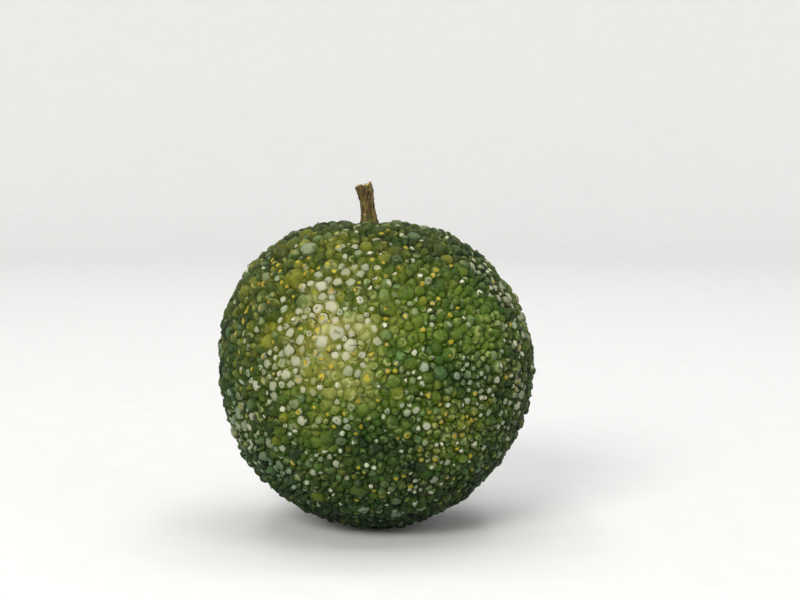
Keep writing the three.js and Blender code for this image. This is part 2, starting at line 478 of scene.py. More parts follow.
# Ripeness and painted highlight: the skin is deep green in places and pale yellow-green in others, partly sun-ripened
# colour and partly a painted highlight, brightest on the front left where the key light falls.
ripe_and_lit_spots = (
    (front(-0.26, 0.16), 0.385, 0.85),
    (front(-0.25, 0.64), 0.28, 0.56),
    (front(-0.66, 0.60), 0.20, 0.36),
    (front(0.02, 0.02), 0.15, 0.66),
    (front(0.28, 0.40), 0.32, 0.57),
    (front(0.60, 0.28), 0.28, 0.56),
    (front(0.48, -0.30), 0.26, 0.54),
    (front(-0.80, 0.22), 0.26, 0.30),
    (front(-0.85, -0.27), 0.20, 0.43),
    (front(-0.42, -0.24), 0.24, 0.45),
    ((0.55, 0.80, 0.20), 0.40, 0.95),
    ((-0.80, 0.58, 0.10), 0.30, 0.62),
    ((0.95, 0.0, 0.45), 0.28, 0.5),
    ((0.10, 0.45, 0.88), 0.34, 0.6),
    ((-0.10, 0.75, -0.55), 0.28, 0.36),
)
rel = co - CENTRE
vert_dir = unit(rel)
at = vert_dir * 56
ripe_and_lit = drifts(vert_dir, ripe_and_lit_spots, 0.14)
ripe_and_lit = ripe_and_lit * (1 + 0.08 * field(at, 17, 421)) + 0.035 * field(at, 24, 422) + 0.035 * field(at, 8, 423)
ripe_and_lit = np.clip(ripe_and_lit, 0, 1.1)

# Painted shade: the skin is painted a deeper, colder green towards the bottom, round the rim as the fruit is seen from
# the front, and in a few patches elsewhere, where shade falls.
painted_shade_spots = (
    (front(-0.04, -1.0), 0.37, 2.0),
    (front(0.80, -0.56), 0.12, 0.7),
    (front(-0.28, 0.95), 0.15, 0.6),
    (front(0.97, -0.20), 0.20, 0.55),
    (front(-0.95, 0.02), 0.24, 0.9),
    (front(-0.62, -0.70), 0.27, 0.9),
    (front(-0.30, -0.90), 0.20, 1.0),
    (front(0.68, -0.70), 0.28, 0.95),
    (front(0.02, -0.38), 0.20, 0.56),
    (front(0.50, 0.0), 0.15, 0.6),
    ((0.20, 0.60, -0.75), 0.40, 0.9),
    ((-0.92, 0.25, -0.30), 0.30, 0.8),
    ((-0.30, 0.92, 0.30), 0.28, 0.8),
    ((0.80, 0.45, 0.75), 0.22, 0.6),
)
painted_shade = np.clip(drifts(vert_dir, painted_shade_spots) * (1 + 0.14 * field(at, 14, 431)) + 0.04 * field(at, 9, 432), 0, 1)

# Some of it has a golden cast.
warm_spots = (
    (front(-0.58, 0.55), 0.36, 1.4),
    (front(-0.18, 0.78), 0.28, 1.15),
    (front(0.06, 0.54), 0.24, 0.65),
    (front(-0.80, -0.20), 0.18, 0.5),
    (front(0.45, -0.33), 0.20, 0.42),
    (front(0.92, 0.10), 0.18, 0.45),
    ((0.75, 0.62, 0.45), 0.34, 0.4),
    ((-0.55, 0.75, 0.30), 0.24, 0.35),
)
warm = np.clip(drifts(vert_dir, warm_spots, 0.05) * (1 + 0.2 * field(at, 12, 441)), 0, 1)

# And some of it is a fuller, leafier green.
lush_spots = (
    (front(0.18, 0.42), 0.26, 0.8),
    (front(0.30, 0.26), 0.26, 1.0),
    (front(0.58, 0.34), 0.26, 0.8),
    (front(0.15, -0.84), 0.48, 1.0),
    (front(0.72, -0.45), 0.22, 0.6),
    ((0.35, 0.90, -0.10), 0.40, 0.9),
    ((-0.90, 0.30, 0.35), 0.26, 0.7),
)
lush = np.clip(drifts(vert_dir, lush_spots) * (1 + 0.2 * field(at, 13, 451)), 0, 1)

# Where the pale tips crowd together the creases between them are pale as well, partly pale wax and partly a painted
# highlight where the key light falls.
CROWDS_AND_HIGHLIGHT = (
    (front(-0.22, 0.60), 0.14, 0.7),
    (front(-0.30, 0.40), 0.16, 0.9),
    (front(-0.26, 0.20), 0.20, 1.0),
    (front(-0.52, 0.08), 0.16, 0.8),
    ((0.10, 0.90, 0.35), 0.26, 0.9),
)

# Pale waxy tips and ochre specks come in drifts too.
at = nub_dir * 56
pale_want = drifts(
    nub_dir,
    (
        (front(-0.12, 0.80), 0.11, 0.8),
        (front(-0.20, 0.60), 0.13, 1.1),
        (front(-0.32, 0.42), 0.14, 0.9),
        (front(-0.26, 0.22), 0.15, 1.3),
        (front(-0.54, 0.18), 0.15, 1.2),
        (front(-0.60, 0.0), 0.15, 1.7),
        (front(-0.12, 0.40), 0.08, 0.4),
        (front(-0.86, -0.33), 0.14, 1.7),
        (front(-0.52, -0.40), 0.08, 0.75),
        (front(-0.28, -0.30), 0.10, 0.45),
        (front(-0.36, -0.52), 0.09, 0.65),
        (front(-0.64, -0.54), 0.11, 0.6),
        (front(0.79, 0.50), 0.17, 1.0),
        (front(0.86, 0.28), 0.10, 0.8),
        (front(0.62, -0.10), 0.12, 0.6),
        (front(0.87, -0.13), 0.11, 0.9),
        (front(0.25, -0.16), 0.11, 0.55),
        (front(0.16, 0.02), 0.08, 0.35),
        (front(0.30, -0.66), 0.12, 0.4),
        (front(0.02, -0.90), 0.12, 0.45),
        ((0.10, 0.90, 0.35), 0.30, 0.9),
        ((-0.75, 0.62, -0.10), 0.24, 0.8),
        ((0.85, 0.45, -0.20), 0.22, 0.7),
        ((0.35, 0.35, 0.88), 0.22, 0.7),
        ((-0.3, 0.5, -0.8), 0.2, 0.6),
    ),
    0.07,
)
bare = drifts(nub_dir, ((front(0.28, 0.58), 0.17, 1.1), (front(-0.24, -0.04), 0.12, 0.8), (front(-0.55, -0.26), 0.13, 0.9)))
pale_want = pale_want * (1 - 0.8 * np.clip(bare, 0, 1)) * np.clip(0.85 + 0.3 * field(at, 9, 411), 0.1, 1.5)
g = np.random.default_rng(917)
pick = g.random(N)
chosen = pick < pale_want * 0.86
pale = np.where(chosen, g.uniform(0.7, 1.0, N), 0)
pale = np.where(~chosen & (pick < pale_want * 0.86 + 0.07), g.uniform(0.2, 0.45, N), pale)
ochre_want = 0.05 + 0.27 * drifts(
    nub_dir,
    (
        (front(-0.60, 0.55), 0.27, 1.7),
        (front(-0.20, 0.80), 0.17, 1.2),
        (front(0.35, 0.40), 0.26, 0.35),
        (front(-0.28, 0.24), 0.28, 0.75),
        (front(-0.85, -0.15), 0.22, 0.6),
        (front(0.80, 0.55), 0.20, 0.7),
        (front(0.45, -0.40), 0.22, 0.5),
        ((0.4, 0.8, 0.4), 0.4, 0.7),
    ),
)
ochre = np.where(g.random(N) < ochre_want, g.uniform(0.6, 1.0, N), 0)
scar = np.where(g.random(N) < 0.2, g.uniform(0.4, 1.0, N), 0)
chance = g.random((N, 3))
# Small pale dots, anywhere on a nub.
dot_want = 0.035 + 0.30 * drifts(
    nub_dir,
    (
        (front(0.86, -0.05), 0.15, 1.0),
        (front(0.70, 0.00), 0.14, 0.7),
        (front(0.80, 0.50), 0.20, 1.0),
        (front(0.24, -0.20), 0.14, 0.8),
        (front(0.75, -0.35), 0.16, 0.5),
        (front(-0.88, -0.30), 0.16, 0.9),
        (front(-0.85, 0.0), 0.14, 0.4),
        (front(-0.50, -0.50), 0.22, 0.7),
        (front(0.10, -0.88), 0.26, 0.7),
        (front(0.30, -0.60), 0.18, 0.5),
        (front(-0.20, 0.35), 0.40, 0.5),
        ((0.2, 0.9, -0.3), 0.4, 0.9),
        ((-0.8, 0.3, 0.5), 0.3, 0.8),
    ),
)
dot_want = dot_want * np.clip(0.8 + 0.55 * field(at, 10, 412), 0.15, 2)
dot = np.where((pale < 0.5) & (g.random(N) < dot_want), g.uniform(0.7, 1.0, N), 0)
dot_at = g.uniform(-0.45, 0.45, (N, 2))
# Painted highlights as light curls on dark nubs, a blue-green bloom on some, and a golden flush on others.
curl_highlight_want = 0.18 + 0.6 * drifts(nub_dir, ((front(0.50, -0.35), 0.34, 1.0), (front(0.15, -0.15), 0.25, 0.7), ((-0.6, 0.6, -0.4), 0.4, 0.9)))
curl_highlight = np.where((pale < 0.5) & (g.random(N) < curl_highlight_want), g.uniform(0.5, 1.0, N), 0)
bloom_want = 0.10 + 0.22 * drifts(nub_dir, ((front(-0.60, 0.42), 0.22, 0.5), (front(0.25, 0.40), 0.25, 0.3), (front(-0.6, -0.6), 0.25, 0.8), ((0.2, 0.9, 0.0), 0.4, 0.8)))
bloom = np.where((pale < 0.5) & (g.random(N) < bloom_want), g.uniform(0.4, 0.9, N), 0)
gold_want = 0.03 + 0.24 * drifts(nub_dir, warm_spots)
gold = np.where((pale < 0.5) & (bloom == 0) & (g.random(N) < gold_want), g.uniform(0.25, 0.75, N), 0)

# Painted shadow: a dark hook beside some nubs, a crescent of shade at the nub's edge.
g = np.random.default_rng(918)
shadow_hook_want = 0.07 + 0.30 * drifts(nub_dir, ((front(0.16, 0.30), 0.42, 1.0), (front(-0.10, 0.0), 0.25, 0.7), (front(-0.55, -0.40), 0.25, 0.5), ((0.2, 0.95, 0.2), 0.6, 0.8)))
shadow_hooked = np.where((pale < 0.5) & (g.random(N) < shadow_hook_want), g.uniform(0.6, 1.0, N), 0)
shadow_hook_turn = g.uniform(0, 2 * math.pi, N)
shadow_hooks = np.column_stack([shadow_hooked, np.cos(shadow_hook_turn), np.sin(shadow_hook_turn)])

me = skin.data
local = np.zeros((len(faces), 3, 3))
local[:, :, :2] = face_local / nub_size[face_nub][:, None, None]
local[:, :, 2] = nub_size[face_nub][:, None]
add_corner_vector(me, "nub_place", local)
add_corner_vector(me, "nub_chance", np.repeat(chance[face_nub], 3, 0))
add_corner_vector(me, "nub_marks", np.repeat(np.stack([pale, ochre, scar], 1)[face_nub], 3, 0))
add_corner_vector(me, "nub_dots", np.repeat(np.column_stack([dot, dot_at])[face_nub], 3, 0))
add_corner_vector(me, "nub_shadow_hooks", np.repeat(shadow_hooks[face_nub], 3, 0))
add_corner_vector(me, "nub_casts", np.repeat(np.stack([curl_highlight, bloom, gold], 1)[face_nub], 3, 0))
add_point_float(me, "hollow", hollow)
add_point_float(me, "ripe_and_lit", ripe_and_lit)
add_point_float(me, "painted_shade", painted_shade)
add_point_float(me, "warm", warm)
add_point_float(me, "lush", lush)
add_point_float(me, "crowd_and_highlight", np.clip(drifts(vert_dir, tuple((w, b * 1.1, a) for w, b, a in CROWDS_AND_HIGHLIGHT)), 0, 1))


def cube_atlas(me, nub_of_face):
    """A UV map with six patches, one for each side of a cube round the fruit. No nub is cut by a patch's edge."""
    d = nub_dir
    side = np.argmax(np.abs(d), 1)
    sign = np.sign(d[np.arange(N), side])
    patch = side * 2 + (sign < 0)
    v = (np.array([x.co for x in me.vertices], float) / MM) - CENTRE
    loops = np.array([l.vertex_index for l in me.loops])
    p = v[loops]
    nub = np.repeat(nub_of_face, 3)
    s = side[nub]
    first, second = (s + 1) % 3, (s + 2) % 3
    rows = np.arange(len(p))
    depth = np.abs(p[rows, s])
    a = np.arctan(p[rows, first] / depth) * 4 / math.pi * sign[nub]
    b = np.arctan(p[rows, second] / depth) * 4 / math.pi
    half = 1.1
    u = (a / half + 1) / 2
    w = (b / half + 1) / 2
    col, row = patch[nub] % 3, patch[nub] // 3
    uv = np.stack([(col + 0.01 + 0.98 * u) / 3, (row + 0.01 + 0.98 * w) / 2], 1)
    layer = me.uv_layers.new(name="OFBake")
    layer.data.foreach_set("uv", uv.astype(np.float32).ravel())
    return uv


uv = cube_atlas(me, face_nub)
print("uv range", uv.min(0), uv.max(0))


# ---- Materials ----------------------------------------------------------------------------------


class Nodes:
    """Short names for the shader nodes that the materials below are made of."""

    def __init__(self, name):
        self.mat = bpy.data.materials.new(name)
        self.mat.use_nodes = True
        self.tree = self.mat.node_tree
        self.tree.nodes.clear()
        self.out = self.tree.nodes.new("ShaderNodeOutputMaterial")
        self.bsdf = self.tree.nodes.new("ShaderNodeBsdfPrincipled")
        self.link(self.bsdf.outputs["BSDF"], self.out.inputs["Surface"])

    def link(self, a, b):
        self.tree.links.new(a, b)

    def feed(self, socket, value):
        if isinstance(value, bpy.types.NodeSocket):
            self.link(value, socket)
        elif value is not None:
            if hasattr(value, "__len__") and len(value) == 3 and socket.type == "RGBA":
                value = (*value, 1)
            socket.default_value = value

    def node(self, kind, **settings):
        n = self.tree.nodes.new(kind)
        for k, v in settings.items():
            setattr(n, k, v)
        return n

    def attribute(self, name, output="Vector"):
        return self.node("ShaderNodeAttribute", attribute_name=name).outputs[output]

    def math(self, op, a, b=None, c=None, clamp=False):
        n = self.node("ShaderNodeMath", operation=op, use_clamp=clamp)
        for i, v in enumerate((a, b, c)):
            self.feed(n.inputs[i], v)
        return n.outputs[0]

    def vmath(self, op, a, b=None, output=0):
        n = self.node("ShaderNodeVectorMath", operation=op)
        self.feed(n.inputs[0], a)
        self.feed(n.inputs[1], b)
        return n.outputs[output]

    def scale(self, a, s):
        n = self.node("ShaderNodeVectorMath", operation="SCALE")
        self.feed(n.inputs[0], a)
        self.feed(n.inputs["Scale"], s)
        return n.outputs[0]

    def split(self, v):
        n = self.node("ShaderNodeSeparateXYZ")
        self.feed(n.inputs[0], v)
        return n.outputs

    def noise(self, vector, scale, detail=2.0, rough=0.5, output="Fac", distortion=0.0):
        n = self.node("ShaderNodeTexNoise")
        self.feed(n.inputs["Vector"], vector)
        self.feed(n.inputs["Scale"], scale)
        self.feed(n.inputs["Detail"], detail)
        self.feed(n.inputs["Roughness"], rough)
        self.feed(n.inputs["Distortion"], distortion)
        return n.outputs[output]

    def step(self, v, lo, hi, to_lo=0.0, to_hi=1.0):
        n = self.node("ShaderNodeMapRange", interpolation_type="SMOOTHSTEP")
        for s, x in zip(("Value", "From Min", "From Max", "To Min", "To Max"), (v, lo, hi, to_lo, to_hi)):
            self.feed(n.inputs[s], x)
        return n.outputs["Result"]

    def span(self, v, lo, hi, to_lo=0.0, to_hi=1.0):
        n = self.node("ShaderNodeMapRange")
        for s, x in zip(("Value", "From Min", "From Max", "To Min", "To Max"), (v, lo, hi, to_lo, to_hi)):
            self.feed(n.inputs[s], x)
        return n.outputs["Result"]

    def mix(self, fac, a, b, blend="MIX"):
        n = self.node("ShaderNodeMix", data_type="RGBA", blend_type=blend)
        self.feed(n.inputs["Factor"], fac)
        self.feed(n.inputs["A"], a)
        self.feed(n.inputs["B"], b)
        return n.outputs["Result"]

    def ramp(self, fac, stops, interpolation="LINEAR"):
        n = self.node("ShaderNodeValToRGB")
        r = n.color_ramp
        r.interpolation = interpolation
        while len(r.elements) > 1:
            r.elements.remove(r.elements[-1])
        r.elements[0].position = stops[0][0]
        r.elements[0].color = (*stops[0][1], 1)
        for pos, colour in stops[1:]:
            e = r.elements.new(pos)
            e.color = (*colour, 1)
        self.feed(n.inputs["Fac"], fac)
        return n.outputs["Color"]

    def bump(self, height, strength, distance, normal=None):
        n = self.node("ShaderNodeBump")
        self.feed(n.inputs["Height"], height)
        n.inputs["Strength"].default_value = strength
        n.inputs["Distance"].default_value = distance
        if normal is not None:
            self.link(normal, n.inputs["Normal"])
        return n.outputs["Normal"]


def srgb(r, g, b):
    def lin(c):
        c /= 255
        return c / 12.92 if c <= 0.04045 else ((c + 0.055) / 1.055) ** 2.4

    return (lin(r), lin(g), lin(b))


def skin_material():
    m = Nodes("hedge_apple_skin")
    pos = m.node("ShaderNodeTexCoord").outputs["Object"]
    place = m.attribute("nub_place")
    chance = m.split(m.attribute("nub_chance"))
    marks = m.split(m.attribute("nub_marks"))
    casts = m.split(m.attribute("nub_casts"))
    dots = m.attribute("nub_dots")
    shadow_hooks = m.split(m.attribute("nub_shadow_hooks"))
    hollow = m.attribute("hollow", "Fac")
    ripe_and_lit = m.attribute("ripe_and_lit", "Fac")
    painted_shade = m.attribute("painted_shade", "Fac")
    warm = m.attribute("warm", "Fac")
    crowd_and_highlight = m.attribute("crowd_and_highlight", "Fac")
    px, py, psize = m.split(place)

    # Distance from the nub's middle, 0 to about 1, made uneven so that no mark is a perfect disc.
    flat = m.node("ShaderNodeCombineXYZ")
    m.link(px, flat.inputs[0])
    m.link(py, flat.inputs[1])
    wob = m.noise(pos, 460, 2, 0.5, output="Color")
    wob = m.vmath("SUBTRACT", wob, (0.5, 0.5, 0.5))
    uneven = m.vmath("ADD", flat.outputs[0], m.scale(wob, 0.95))
    reach = m.vmath("LENGTH", uneven, output="Value")

    middle = m.noise(pos, 120, 3, 0.55)
    fine = m.noise(pos, 900, 3, 0.6)
    broken = m.noise(pos, 190, 2, 0.5)

    # Faint wrinkles: the lines where a winding noise crosses its middle value, broken up by a finer one.
    winding = m.noise(pos, 600, 1.5, 0.45, distortion=0.7)
    wrinkle = m.step(m.math("ABSOLUTE", m.math("SUBTRACT", winding, 0.5)), 0.0, 0.10, 1, 0)
    wrinkle = m.math("MULTIPLY", wrinkle, m.step(m.noise(pos, 420, 2, 0.5), 0.44, 0.62))
    curl = m.step(winding, 0.55, 0.66)

    # Greens: ripeness and painted highlight over the fruit, then each nub's own tone.
    tone = m.math("ADD", ripe_and_lit, m.span(middle, 0.3, 0.7, -0.12, 0.12))
    tone = m.math("ADD", tone, m.span(chance[0], 0, 1, -0.10, 0.10))
    colour = m.ramp(
        tone,
        (
            (0.0, srgb(15, 31, 8)),
            (0.15, srgb(29, 49, 9)),
            (0.36, srgb(55, 80, 10)),
            (0.6, srgb(91, 107, 24)),
            (0.82, srgb(134, 136, 66)),
            (1.0, srgb(158, 156, 98)),
        ),
    )
    own = m.ramp(
        chance[1],
        (
            (0.0, srgb(13, 27, 9)),
            (0.2, srgb(28, 52, 12)),
            (0.45, srgb(56, 78, 13)),
            (0.62, srgb(78, 86, 14)),
            (0.78, srgb(40, 68, 24)),
            (0.9, srgb(80, 98, 42)),
            (1.0, srgb(98, 106, 34)),
        ),
    )
    colour = m.mix(m.span(ripe_and_lit, 0.2, 1.0, 0.42, 0.16), colour, own)
    gilt = m.mix(0.5, colour, srgb(154, 148, 38))
    colour = m.mix(m.math("MULTIPLY", warm, 0.9), colour, m.mix(1.0, colour, (1.42, 0.98, 0.52), "MULTIPLY"))
    colour = m.mix(m.attribute("lush", "Fac"), colour, m.mix(1.0, colour, (0.82, 1.04, 0.84), "MULTIPLY"))
    colour = m.mix(m.math("MULTIPLY", casts[2], m.step(reach, 0.6, 1.1, 1, 0.3)), colour, gilt)
    haze = m.step(reach, 0.55, 1.0, 1, 0)
    colour = m.mix(m.math("MULTIPLY", casts[1], haze), colour, m.mix(0.6, colour, srgb(102, 126, 88)))
    colour = m.mix(m.math("MULTIPLY", curl, m.span(ripe_and_lit, 0.2, 1, 0.26, 0.2)), colour, m.mix(ripe_and_lit, srgb(92, 106, 44), srgb(172, 170, 112)))
    # Painted highlights: light curls, each an arc round part of a nub's top, as if its shoulder caught the light.
    turn = m.math("MULTIPLY", chance[1], 37.7)
    aim = m.node("ShaderNodeCombineXYZ")
    m.link(m.math("COSINE", turn), aim.inputs[0])
    m.link(m.math("SINE", turn), aim.inputs[1])
    toward = m.math("DIVIDE", m.vmath("DOT_PRODUCT", uneven, aim.outputs[0], output="Value"), m.math("MAXIMUM", reach, 0.05))
    arc_highlight = m.math("MULTIPLY", m.step(m.math("ABSOLUTE", m.math("SUBTRACT", reach, 0.52)), 0.10, 0.26, 1, 0), m.step(toward, -0.35, 0.25))
    colour = m.mix(m.math("MULTIPLY", m.math("MULTIPLY", arc_highlight, casts[0]), 0.66), colour, m.mix(ripe_and_lit, srgb(116, 130, 68), srgb(184, 182, 122)))
    # A little russet where the skin has been rubbed.
    rub = m.math("MULTIPLY", m.step(m.noise(pos, 55, 2, 0.5), 0.56, 0.66), m.step(fine, 0.48, 0.6))
    colour = m.mix(m.math("MULTIPLY", rub, 0.4), colour, srgb(80, 68, 26))
    speck = m.span(fine, 0.3, 0.7, 0.76, 1.14)
    grey = m.node("ShaderNodeCombineColor")
    for k in range(3):
        m.link(speck, grey.inputs[k])
    colour = m.mix(1.0, colour, grey.outputs[0], "MULTIPLY")
    # Painted shade along the faint wrinkles: the wrinkle lines are darkened.
    colour = m.mix(m.math("MULTIPLY", wrinkle, m.span(ripe_and_lit, 0.3, 1, 0.38, 0.16)), colour, srgb(26, 38, 12))

    # Where the pale tips crowd together, the creases are washed pale in patches: partly spread wax, partly painted
    # highlight.
    wash = m.step(m.noise(pos, 230, 2, 0.5, distortion=0.4), 0.50, 0.60)
    wash = m.math("MULTIPLY", wash, m.step(crowd_and_highlight, 0.3, 0.85, 0, 0.62))
    colour = m.mix(wash, colour, srgb(154, 156, 106))

    # Waxy pale tips and ochre ones.
    tip_size = m.math("ADD", m.span(chance[2], 0, 1, 0.44, 0.80), m.math("MULTIPLY", crowd_and_highlight, 0.07))
    tip = m.math("SUBTRACT", tip_size, reach)
    tip = m.step(tip, -0.05, 0.10)
    pale_colour = m.ramp(
        chance[0],
        ((0.0, srgb(114, 122, 90)), (0.35, srgb(140, 143, 119)), (0.75, srgb(163, 162, 140)), (1.0, srgb(125, 138, 110))),
    )
    pale_colour = m.mix(m.math("MULTIPLY", crowd_and_highlight, 0.55), pale_colour, srgb(166, 163, 138))
    # Painted shadow: a dark crescent on one side beside some pale tips.
    beside = m.math("ABSOLUTE", m.math("SUBTRACT", reach, m.math("ADD", tip_size, 0.13)))
    tip_shadow = m.math("MULTIPLY", m.step(beside, 0.05, 0.17, 1, 0), m.step(toward, -0.3, 0.3, 1, 0))
    tip_shadow = m.math("MULTIPLY", tip_shadow, m.math("MULTIPLY", marks[0], m.step(chance[1], 0.45, 0.5)))
    colour = m.mix(m.math("MULTIPLY", tip_shadow, 0.85), colour, srgb(27, 36, 18))
    colour = m.mix(m.math("MULTIPLY", tip, marks[0]), colour, pale_colour)
    dot, dot_x, dot_y = m.split(dots)
    dot_place = m.node("ShaderNodeCombineXYZ")
    m.link(dot_x, dot_place.inputs[0])
    m.link(dot_y, dot_place.inputs[1])
    dot_reach = m.math("MULTIPLY", m.vmath("LENGTH", m.vmath("SUBTRACT", uneven, dot_place.outputs[0]), output="Value"), psize)
    dot_inside = m.math("SUBTRACT", m.span(chance[0], 0, 1, 0.55, 1.0), dot_reach)
    # Painted shadow: a dark crescent on one side beside each small pale dot.
    one_side = m.step(toward, -0.4, 0.4, 1, 0.1)
    dot_shadow = m.math("MULTIPLY", m.math("MULTIPLY", m.step(dot_inside, -0.5, -0.2), one_side), dot)
    colour = m.mix(m.math("MULTIPLY", dot_shadow, 0.7), colour, srgb(28, 38, 16))
    dot_here = m.step(dot_inside, -0.1, 0.15)
    colour = m.mix(m.math("MULTIPLY", dot_here, dot), colour, srgb(184, 184, 158))
    shifted = m.vmath("ADD", uneven, (0.10, 0.07, 0))
    och_reach = m.math("MULTIPLY", m.vmath("LENGTH", shifted, output="Value"), psize)
    och_size = m.math("MINIMUM", m.span(chance[2], 0, 1, 0.60, 0.96), m.math("MULTIPLY", psize, 0.66))
    och_inside = m.math("SUBTRACT", och_size, och_reach)
    # Painted shadow: a dark crescent on one side beside each ochre speck.
    rim = m.math("MULTIPLY", m.math("MULTIPLY", m.step(och_inside, -0.55, -0.15), one_side), marks[1])
    colour = m.mix(m.math("MULTIPLY", rim, 0.75), colour, srgb(36, 42, 14))
    och = m.step(och_inside, -0.1, 0.15)
    ochre_colour = m.ramp(chance[1], ((0.0, srgb(148, 132, 24)), (0.6, srgb(168, 150, 42)), (1.0, srgb(140, 116, 24))))
    colour = m.mix(m.math("MULTIPLY", och, marks[1]), colour, ochre_colour)
    shadow_hook_aim = m.node("ShaderNodeCombineXYZ")
    m.link(shadow_hooks[1], shadow_hook_aim.inputs[0])
    m.link(shadow_hooks[2], shadow_hook_aim.inputs[1])
    facing = m.math("DIVIDE", m.vmath("DOT_PRODUCT", uneven, shadow_hook_aim.outputs[0], output="Value"), m.math("MAXIMUM", reach, 0.05))
    # Painted shadow: the dark crescent at the edge of the hooked nubs.
    hook_shadow = m.step(m.math("ABSOLUTE", m.math("SUBTRACT", reach, 0.74)), 0.07, 0.17, 1, 0)
    hook_shadow = m.math("MULTIPLY", m.math("MULTIPLY", hook_shadow, m.step(facing, 0.0, 0.45)), shadow_hooks[0])
    colour = m.mix(m.math("MULTIPLY", hook_shadow, 0.85), colour, srgb(26, 34, 14))
    # The scar of the style, a small dark pit.
    off = m.vmath("SUBTRACT", uneven, (0.06, -0.04, 0))
    pit = m.step(m.vmath("LENGTH", off, output="Value"), 0.14, 0.3, 1, 0)
    pit = m.math("MULTIPLY", pit, marks[2])
    colour = m.mix(m.math("MULTIPLY", pit, 0.8), colour, srgb(34, 44, 20))

    # Painted shade in the clefts, darker the deeper the skin lies: dark here and faint there, so that they show as
    # short curls and not as a net.
    cleft_shade_amount = m.math("MULTIPLY", hollow, m.step(broken, 0.38, 0.6, 0.42, 1.0))
    cleft_shade_amount = m.math("MULTIPLY", cleft_shade_amount, m.math("SUBTRACT", 1.0, m.math("MULTIPLY", ripe_and_lit, 0.45)))
    cleft_shade_amount = m.math("MULTIPLY", cleft_shade_amount, m.math("SUBTRACT", 1.0, m.math("MULTIPLY", crowd_and_highlight, 0.35)))
    cleft_shade_amount = m.math("MULTIPLY", cleft_shade_amount, m.math("SUBTRACT", 1.0, m.math("MULTIPLY", painted_shade, 0.6)))
    painted_cleft_shade = m.ramp(cleft_shade_amount, ((0.0, (1, 1, 1)), (0.3, (0.84, 0.87, 0.78)), (0.7, (0.55, 0.62, 0.46)), (1.0, (0.34, 0.42, 0.28))))
    colour = m.mix(1.0, colour, painted_cleft_shade, "MULTIPLY")

    # Painted shade: darker, colder green where the shade attribute is high.
    painted_shade_tint = m.ramp(painted_shade, ((0.0, (1, 1, 1)), (0.75, (0.41, 0.58, 0.51)), (1.0, (0.20, 0.35, 0.30))))
    colour = m.mix(1.0, colour, painted_shade_tint, "MULTIPLY")
    m.feed(m.bsdf.inputs["Base Color"], colour)
    rough = m.span(fine, 0.3, 0.7, 0.46, 0.64)
    rough = m.math("ADD", rough, m.math("MULTIPLY", hollow, 0.22))
    m.feed(m.bsdf.inputs["Roughness"], rough)
    m.bsdf.inputs["Specular IOR Level"].default_value = 0.16
    m.bsdf.inputs["Subsurface Weight"].default_value = 0.08
    m.bsdf.inputs["Subsurface Radius"].default_value = (1.0, 0.8, 0.35)
    m.bsdf.inputs["Subsurface Scale"].default_value = 0.001

    height = m.math("MULTIPLY", wrinkle, -0.3)
    height = m.math("ADD", height, m.math("MULTIPLY", winding, 0.8))
    height = m.math("ADD", height, m.math("MULTIPLY", m.noise(pos, 1700, 3, 0.55), 0.9))
    height = m.math("SUBTRACT", height, m.math("MULTIPLY", pit, 1.2))
    m.feed(m.bsdf.inputs["Normal"], m.bump(height, 0.7, 0.0003))
    return m.mat


skin.data.materials.append(skin_material())
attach(skin, "root")
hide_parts("fruit")


# ---- The stalk ----------------------------------------------------------------------------------

STALK_PROFILE = ((0, 3.9), (0.7, 3.98), (1.9, 3.35), (3.6, 2.84), (6.2, 2.45), (9.2, 2.5), (11.8, 2.72), (13.6, 2.95), (14.7, 2.86), (15.5, 2.6))
STALK_LENGTH = 15.5


